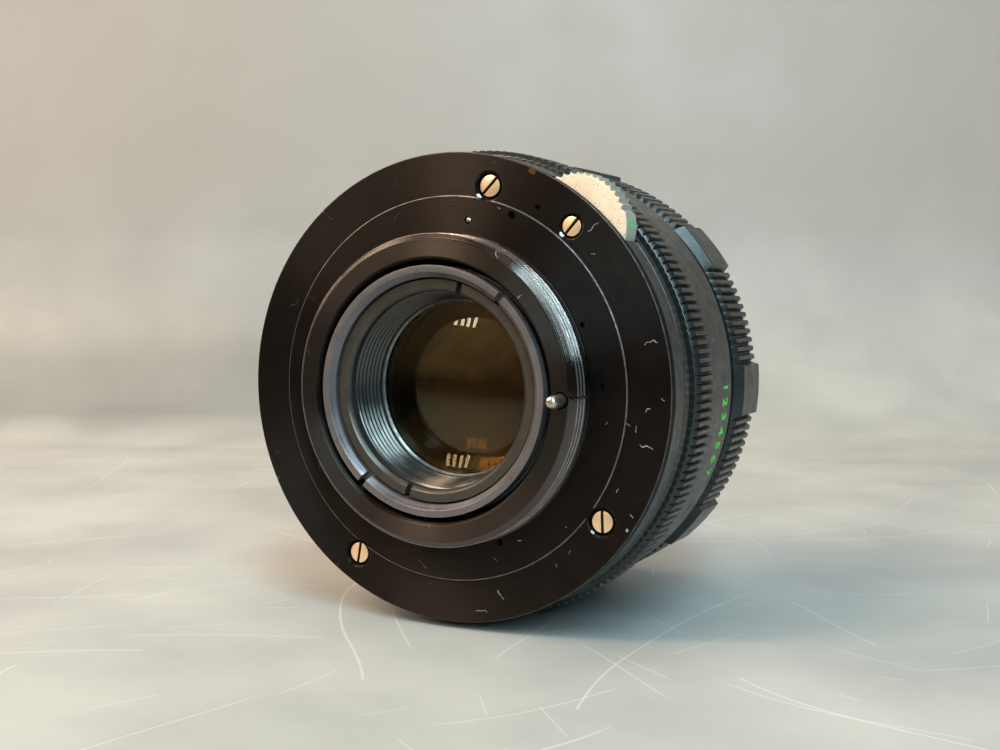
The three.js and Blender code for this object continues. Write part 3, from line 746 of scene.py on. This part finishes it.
piece("focus_grip_detail", focus_grip(), MATT, "focusing", ["focus_grip"], sharp=24)
for number, angle in enumerate(GRUB_ANGLES, 1):
    node = f"focus_grub_screw_{number}"
    slot = box(30.1, 30.9, 0.2, 37.8, 39.3, angle)
    screw = cut(radial_rod(0.6, 28.1, 30.5, GRUB_Y, angle), slot)
    piece(f"{node}_detail", screw, STEEL, "focusing", [node])


# ---------------------------------------------------------------- plain turned pieces
def spanner_slots(outline, width, angle, r0, r1, y0, y1):
    """Ring with two opposite slots."""
    slots = [box(r0, r1, width, y0, y1, turn) for turn in (angle, angle + 180)]
    return cut(revolve(outline, 180, edge=0.05), *slots)


def ribbed(start, end, y0, y1, ribs, depth, peak=0.6):
    """Zigzag of ribs from one (r, y) to another; `peak` is where in its pitch a rib crests."""
    made = []
    for i in range(ribs):
        r = start + (end - start) * i / ribs
        made += [(r, y0 + (y1 - y0) * i / ribs), (r - depth, y0 + (y1 - y0) * (i + peak) / ribs)]
    return made


lock_ring = spanner_slots([
    (15.15, -4.55), (15.85, -5.36), (16.75, -5.36), (16.75, -3.2), (15.15, -3.2),
], 0.95, 50, 14, 18, -6, -3.7)
piece("rear_lock_ring_detail", lock_ring, GREY, "optics", ["rear_lock_ring"])
retaining_ring = spanner_slots([
    (13.25, -3.6), (13.75, -4.12), (14.9, -4.12), (14.9, -2.7), (13.25, -2.7),
], 0.8, 74, 12, 16, -5, -3.0)
piece("rear_retaining_ring_detail", retaining_ring, BROWN_GREY, "optics",
      ["rear_retaining_ring"])
rear_cell = revolve([
    *ribbed(13.35, 12.45, -2.4, 2.8, 7, 0.3, 0.26), (12.35, 3.0), (12.0, 3.25), (12.0, 3.5),
    (12.85, 3.5), (12.85, 6.3), (12.1, 9.4), (12.1, 16.6), (15.0, 16.6), (15.0, -2.4),
], 180, edge=0.02)
piece("rear_cell_detail", rear_cell, CELL, "optics", ["rear_cell"])
inner_barrel = revolve([
    (15.3, -2.9), (16.75, -2.9), (16.75, 14.0), (24.6, 14.0), (24.6, 41.0), (22.5, 41.0),
    (22.5, 16.0), (15.3, 16.0),
], 180)
arm_way, key_way = arc_plate(19.1, 21.1, *ARM_SLOT, 13, 17), box(20, 26, 3.4, 13, 36, -60)
piece("inner_barrel_detail", cut(inner_barrel, arm_way, key_way), RAW, "optics",
      ["inner_barrel"])


CAP_STEPS = 14


def sphere_cap(rim, depth, y):
    """Outline points of a spherical face, from the axis to its rim at `y`; a positive depth
    bulges towards -Y."""
    if not depth:
        return [(0, y), (rim, y)]
    big = (rim * rim + depth * depth) / (2 * abs(depth))
    sign = math.copysign(1, depth)
    points = []
    for i in range(CAP_STEPS + 1):
        r = rim * i / CAP_STEPS
        points.append((r, y - sign * (math.sqrt(big * big - r * r) - (big - abs(depth)))))
    return points


def element(rim, rear_y, front_y, rear_bulge, front_bulge):
    """Lens element from its rim's radius, the rim's two ends and the bulges of its faces."""
    rear = sphere_cap(rim, rear_bulge, rear_y)
    front = sphere_cap(rim, -front_bulge, front_y)
    return revolve(rear + front[::-1], 128, edge=0)


ELEMENTS = {  # radius of the rim, y of its two ends, bulges of the faces
    "rear_glass": (12.6, 3.8, 6.0, 2.2, 0.8),
    "rear_doublet_convex": (11.7, 9.9, 11.6, 2.3, 0),
    "rear_doublet_concave": (11.7, 11.9, 15.7, 0, -2.7),
    "front_doublet_concave": (11.7, 21.9, 25.6, -2.7, 0),
    "front_doublet_convex": (14.2, 25.9, 27.5, 0, 4.4),
    "front_glass": (17.0, 31.0, 33.1, -1.3, 4.3),
}
for name, sizes in ELEMENTS.items():
    material = GLASS if name in ("rear_glass", "front_glass") else AMBER_GLASS
    piece(f"{name}_detail", element(*sizes), material, "optics", [name], sharp=40)

TURNED = {  # node: outline, material, body, slot
    "rear_spacer": ([
        (11.6, 6.35), (12.4, 6.35), (11.8, 9.5), (11.2, 9.5),
    ], SATIN, "optics", "satin_black"),
    "rear_doublet_ring": ([
        (10.6, 16.0), (11.8, 16.0), (11.8, 16.6), (10.6, 16.6),
    ], SATIN, "optics", "satin_black"),
    "front_cell": ([
        (10.6, 21.1), (18.6, 21.1), (18.6, 26.8), (22.15, 26.8), (22.15, 38.6), (17.4, 38.6),
        (17.4, 28.0), (14.5, 28.0), (14.5, 25.6), (12.0, 25.6), (12.0, 21.5), (10.6, 21.5),
    ], MATT, "optics", "matt_black"),
    "front_spacer": ([
        (13.7, 28.4), (17.1, 28.4), (17.1, 30.5), (15.6, 30.5), (13.7, 29.3),
    ], SATIN, "optics", "satin_black"),
    "front_trim_ring": ([
        (17.8, 39.0), (18.6, 39.0), (25.7, 45.7), (25.7, 46.6), (24.9, 46.6),
        *ribbed(24.4, 18.2, 46.0, 40.2, 12, -0.12), (17.8, 39.9),
    ], SATIN, "optics", "satin_black"),
    "front_barrel": ([
        (24.95, 39.8), (27.4, 39.8), (27.4, 49.7), (27.1, 50.0), (26.2, 50.0),
        *ribbed(25.95, 25.95, 49.8, 47.2, 4, -0.3), (26.0, 43.6), (24.95, 43.6),
    ], GLOSS, "optics", "gloss_black"),
    "distance_ring": ([
        (27.7, 39.75), (29.2, 39.75), (29.2, 44.5), (28.9, 44.8), (27.7, 44.8),
    ], MATT, "focusing", "matt_black"),
}
for name, (outline, material, body, slot) in TURNED.items():
    piece(f"{name}_detail", revolve(outline, 240, edge=0.06), material, body, [name])
retaining_ring = spanner_slots([
    (15.9, 34.5), (17.1, 34.5), (17.1, 36.0), (15.9, 36.0),
], 1.0, 20, 15, 18, 35.5, 37)
piece("front_retaining_ring_detail", retaining_ring, SATIN, "optics",
      ["front_retaining_ring"])
helicoid = revolve([
    (24.9, 14.2), (27.5, 14.2), (27.5, 37.7), (29.0, 37.7), (29.0, 39.45), (24.9, 39.45),
])
grub_holes = [radial_rod(0.95, 27.8, 33, GRUB_Y, angle) for angle in GRUB_ANGLES]
piece("helicoid_sleeve_detail", cut(helicoid, *grub_holes), RAW, "focusing",
      ["helicoid_sleeve"])

# ---------------------------------------------------------------- switch and pin
SWITCH_R = 7.1
SCALLOPS, SCALLOP_ARC, SCALLOP_DEPTH = 12, (14.0, 112.0), 0.42
SCALLOP_STEPS, PLAIN_STEPS = 6, 96
PAINT_LIFT = 0.03


def switch_disc():
    def outline(r):
        return [(0, 1.5), (r - 0.12, 1.5), (r, 1.62), (r, 5.1), (r - 0.15, 5.3), (0, 5.3)]

    columns = []
    start, end = SCALLOP_ARC
    pitch = (end - start) / SCALLOPS
    for i in range(SCALLOPS * SCALLOP_STEPS):
        dip = SCALLOP_DEPTH * math.sin(math.pi * (i % SCALLOP_STEPS) / SCALLOP_STEPS)
        columns.append((start + i / SCALLOP_STEPS * pitch, outline(SWITCH_R - dip)))
    for i in range(PLAIN_STEPS):
        columns.append((end + (360 - end + start) * i / PLAIN_STEPS, outline(SWITCH_R)))
    bore = revolve([(0, 0), (1.1, 0), (1.1, 7), (0, 7)], 32, SWITCH_AT, edge=0)
    return cut(loft(columns, SWITCH_AT), bore)


piece("auto_manual_switch_detail", switch_disc(), SILVER, "switch",
      ["auto_manual_switch"], sharp=24)


def switch_mark(angle):
    """Small chevron on the switch's edge."""
    bm = bmesh.new()
    cx, cz = polar(*SWITCH_AT)
    outline = (  # y, degrees from the middle
        (2.1, -5.2), (4.7, 0.0), (2.1, 5.2), (2.1, 2.8), (3.9, 0.0), (2.1, -2.8),
    )
    rings = []
    for lift in (0.0, PAINT_LIFT):
        row = []
        for y, turn in outline:
            c, s = polar(SWITCH_R + lift, angle + turn)
            row.append(bm.verts.new(point(cx + c, y, cz + s)))
        rings.append(row)
    count = len(outline)
    for row in rings:
        for quad in ((0, 1, 4, 5), (1, 2, 3, 4)):
            bm.faces.new([row[i] for i in quad])
    for i in range(count):
        k = (i + 1) % count
        bm.faces.new((rings[0][i], rings[0][k], rings[1][k], rings[1][i]))
    return outward(bm)


for number, angle in enumerate((2, 124), 1):
    piece(f"switch_mark_{number}", switch_mark(angle), GREEN, "switch")

aperture_pin = revolve([
    (0, -8.2), (0.35, -8.16), (0.62, -8.0), (0.78, -7.75), (0.85, -7.4), (0.85, 1.4), (1.3, 1.4),
    (1.3, 2.0), (0, 2.0),
], 32, PIN_AT, edge=0.03, closed=False)
piece("aperture_pin_detail", aperture_pin, STEEL, "pin", ["aperture_pin"])


# ---------------------------------------------------------------- numbers and marks on the rings
EM_PER_DIGIT, BOLD = 1.38, 0.03  # font size and thickening, both per digit height


def wrapped_text(text, height, r, y, angle, turn=0.0):
    """Text as thin raised paint on a cylinder, its top towards +Y; it reads towards smaller
    angles."""
    curve = bpy.data.curves.new("text", "FONT")
    curve.body = text
    curve.size = height * EM_PER_DIGIT
    curve.align_x, curve.align_y = "CENTER", "CENTER"
    curve.extrude = PAINT_LIFT
    curve.offset = BOLD * height
    holder = bpy.data.objects.new("text", curve)
    scene.collection.objects.link(holder)
    mesh = evaluated_mesh(holder)
    bm = bmesh.new()
    bm.from_mesh(mesh)
    bpy.data.objects.remove(holder)
    bpy.data.curves.remove(curve)
    bpy.data.meshes.remove(mesh)
    bmesh.ops.remove_doubles(bm, verts=bm.verts, dist=1e-4)
    bmesh.ops.triangulate(bm, faces=bm.faces)
    ct, st = polar(1, turn)
    for v in bm.verts:
        across, up = v.co.x * ct - v.co.y * st, v.co.x * st + v.co.y * ct
        c, s = polar(r + v.co.z, angle - math.degrees(across / r))
        v.co = point(c, y + up, s)
    return outward(bm)


def line_mark(r, y0, y1, angle, width):
    half = math.degrees(width / r / 2)
    return arc_plate(r - PAINT_LIFT, r + PAINT_LIFT, angle - half, angle + half, y0, y1, 2)


TOP = 178.4  # opposite the pin: the side that is on top when the lens is on a camera
BAND_R, SCALE_R, INDEX_R = 32.2, 29.2, 30.5
DIAL_START, DIAL_STEP, DIAL_COUNT = -0.2, -3.7, 7

dial = [
    wrapped_text(str(i + 1), 1.9, BAND_R, 22.0, DIAL_START + DIAL_STEP * i)
    for i in range(DIAL_COUNT)
]
piece("dial_numbers", merge(*dial), GREEN, "aperture_control")

STOPS = ("2", "2.8", "4", "5.6", "8", "11", "16")
APERTURE_TRAVEL = 75.0
stop_angles = [TOP - APERTURE_TRAVEL * i / (len(STOPS) - 1) for i in range(len(STOPS))]
stops = [wrapped_text(text, 2.3, BAND_R, 20.6, angle) for text, angle in zip(STOPS, stop_angles)]
stops += [line_mark(BAND_R, 23.2, 24.5, angle, 0.3) for angle in stop_angles]
piece("aperture_numbers", merge(*stops), WHITE, "aperture_control")

index_line = line_mark(INDEX_R, 25.5, 28.0, TOP, 0.35)
piece("index_line", index_line, WHITE, "barrel")

FOCAL_LENGTH = 50.0
TRAVEL_PER_DEGREE = 0.03
DISTANCES = (10, 5, 3, 2, 1.5, 1, 0.8, 0.6, 0.5, 0.4)  # metres
INFINITY_ANGLE = TOP - 100
SCALE_Y = 42.6
distances = [wrapped_text("8", 2.2, SCALE_R, SCALE_Y, INFINITY_ANGLE, turn=90)]  # on its side
for metres in DISTANCES:
    extension = FOCAL_LENGTH**2 / (metres * 1000 - FOCAL_LENGTH)
    angle = INFINITY_ANGLE + extension / TRAVEL_PER_DEGREE
    distances.append(wrapped_text(f"{metres:g}", 2.0, SCALE_R, SCALE_Y, angle))
piece("distance_numbers", merge(*distances), WHITE, "focusing")

# ---------------------------------------------------------------- finishes of the nodes that stay
KEPT = {
    "guide_key": STEEL, "guide_key_screw": BRASS, "click_ball": STEEL, "click_spring": BRASS,
    "aperture_drive_arm": STEEL, "stopdown_ring": STEEL, "iris_ring": STEEL,
    "diaphragm_housing": MATT, "diaphragm_cover": MATT,
    **{f"iris_blade_{i}": BLADE for i in range(1, 7)},
}
for name, material in KEPT.items():
    for material_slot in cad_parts[name].material_slots:
        material_slot.material = material


# ---------------------------------------------------------------- floor, backdrop and lights
FLOOR_SCRATCHES = (  # spacing, length, width, share of the cells
    (60, 80, 0.22, 0.8), (25, 32, 0.16, 0.6), (14, 12, 0.14, 0.3),
)
FLOOR_BENDING, FLOOR_BEND_FREQUENCY = 9, 0.02
SWEEP_BEHIND, SWEEP_AHEAD, SWEEP_BEND, SWEEP_TOP, SWEEP_SIDE = -1.2, 0.40, 0.07, 1.2, 1.6  # metres
SWEEP_STEPS = 8


def stage_material():
    sh = Shader("pale_ground")
    mottled = sh.ramp(sh.noise(0.03, 5), 0.35, 0.65)
    floor = sh.mix(mottled, (0.405, 0.40, 0.39), (0.32, 0.32, 0.32))
    flat = sh.ramp(sh.height, -32, -33, 0.0, 0.4)
    for sizes in FLOOR_SCRATCHES:
        line = sh.scratches(*sizes, (1, 1, 0), FLOOR_BENDING, FLOOR_BEND_FREQUENCY, 0)
        floor = sh.mix(sh.math("MULTIPLY", line, flat), floor, (0.66, 0.65, 0.64))
    wall = sh.mix(mottled, (0.35, 0.31, 0.288), (0.34, 0.30, 0.28))
    colour = sh.mix(sh.ramp(sh.height, -30, 60), floor, wall)
    # painted shade: a dark band along the bend of the sweep, stronger towards the left
    painted_bend_shade = sh.math("MULTIPLY", sh.ramp(sh.height, -33, -26), sh.ramp(sh.height, 30, -10))
    left = sh.ramp(sh.x, 0, -200, 0.0, 0.55)
    colour = sh.mix(sh.math("MULTIPLY", painted_bend_shade, left), colour, (0.10, 0.10, 0.10))
    # painted shade: the floor towards the camera fades to dark brown, so the lens reflects dim
    # surroundings
    dark_near_camera = (0.05, 0.035, 0.025)
    sh.set("Base Color", sh.mix(sh.ramp(sh.along, -260, -75), dark_near_camera, colour))
    sh.set("Roughness", sh.ramp(sh.noise(0.02, 4), 0.3, 0.7, 0.38, 0.55))
    sh.set("Normal", sh.bump(sh.noise(0.08, 5), 0.15))
    return sh.material


def sweep():
    """Floor that curves up into a backdrop, square to the camera's view."""
    ahead = forward(CAMERA_AZIMUTH, 0)
    side = Vector((ahead.y, -ahead.x, 0))
    camera = ORIGIN + CAMERA_FROM_FLANGE
    base = Vector((camera.x, camera.y, 0))
    outline = [(SWEEP_BEHIND, 0.0), (SWEEP_AHEAD, 0.0)]
    for step in range(1, SWEEP_STEPS + 1):
        turn = step * math.pi / 2 / SWEEP_STEPS
        d, h = SWEEP_AHEAD + SWEEP_BEND * math.sin(turn), SWEEP_BEND * (1 - math.cos(turn))
        outline.append((d, h))
    outline.append((SWEEP_AHEAD + SWEEP_BEND, SWEEP_TOP))
    bm = bmesh.new()
    rows = []
    for d, h in outline:
        middle = base + ahead * d + Vector((0, 0, h))
        rows.append([bm.verts.new(middle + side * w) for w in (-SWEEP_SIDE, SWEEP_SIDE)])
    for this, that in zip(rows, rows[1:]):
        bm.faces.new((this[0], this[1], that[1], that[0]))
    obj = to_object("ground", bm)
    obj.data.materials.append(stage_material())
    obj.data.shade_smooth()


sweep()


def area_light(name, place, target, size, power, colour):
    """Rectangular light turned towards a target; metres and watts."""
    data = bpy.data.lights.new(name, "AREA")
    data.shape, data.size, data.size_y = "RECTANGLE", *size
    data.energy, data.color = power, colour
    light = bpy.data.objects.new(name, data)
    scene.collection.objects.link(light)
    light.location = place
    light.rotation_mode = "QUATERNION"
    light.rotation_quaternion = (Vector(target) - Vector(place)).to_track_quat("-Z", "Y")


WARM, COOL, NEUTRAL = (1.0, 0.78, 0.57), (0.60, 0.90, 1.0), (1.0, 0.92, 0.80)
area_light("low_left", (-0.58, -0.08, 0.38), (0, 0, 0.02), (0.4, 0.4), 4.2, WARM)
area_light("overhead_back", (0.0, 0.28, 0.7), (0.02, 0.3, 0), (0.7, 0.4), 2.3, NEUTRAL)
area_light("warm_front", (-0.43, -0.52, 0.77), (0, 0, 0.03), (0.26, 0.42), 7.4, WARM)
area_light("cool_right", (0.38, -0.50, 0.52), (0, 0, 0.03), (0.18, 0.75), 8.6, COOL)
WINDOW_BARS, WINDOW_STEP = 4, 0.055
WINDOW_PLACE, WINDOW_ACROSS = Vector((-0.40, -0.81, 0.47)), Vector((0.89, -0.45, 0))
for bar in range(WINDOW_BARS):
    place = WINDOW_PLACE + WINDOW_ACROSS * (bar - (WINDOW_BARS - 1) / 2) * WINDOW_STEP
    area_light(f"window_{bar + 1}", place, (0, 0, 0.033), (0.028, 0.12), 0.2, NEUTRAL)

PATCH_TOWARDS, PATCH_FADE = (-0.45, -0.74, 0.50), (0.80, 0.97)
PATCH_DARK, PATCH_LIGHT, ROOM_GREY = (0.60, 0.43, 0.17), (1.60, 1.15, 0.42), (0.04, 0.04, 0.04)


def room():
    """Dim surroundings, with a mottled brown patch where the rear glass reflects them."""
    world = bpy.data.worlds.new("room")
    world.use_nodes = True
    sky = Nodes(world.node_tree)
    sky.place = sky.node("ShaderNodeTexCoord", output="Generated")
    patch = sky.mix(sky.ramp(sky.noise(3.5), 0.42, 0.66), PATCH_DARK, PATCH_LIGHT)
    towards = sky.vector("DOT_PRODUCT", sky.place, PATCH_TOWARDS, output="Value")
    colour = sky.mix(sky.ramp(towards, *PATCH_FADE), ROOM_GREY, patch)
    sky.put(world.node_tree.nodes["Background"].inputs["Color"], colour)
    scene.world = world


room()

scene.view_settings.view_transform = "Standard"

bpy.context.view_layer.update()
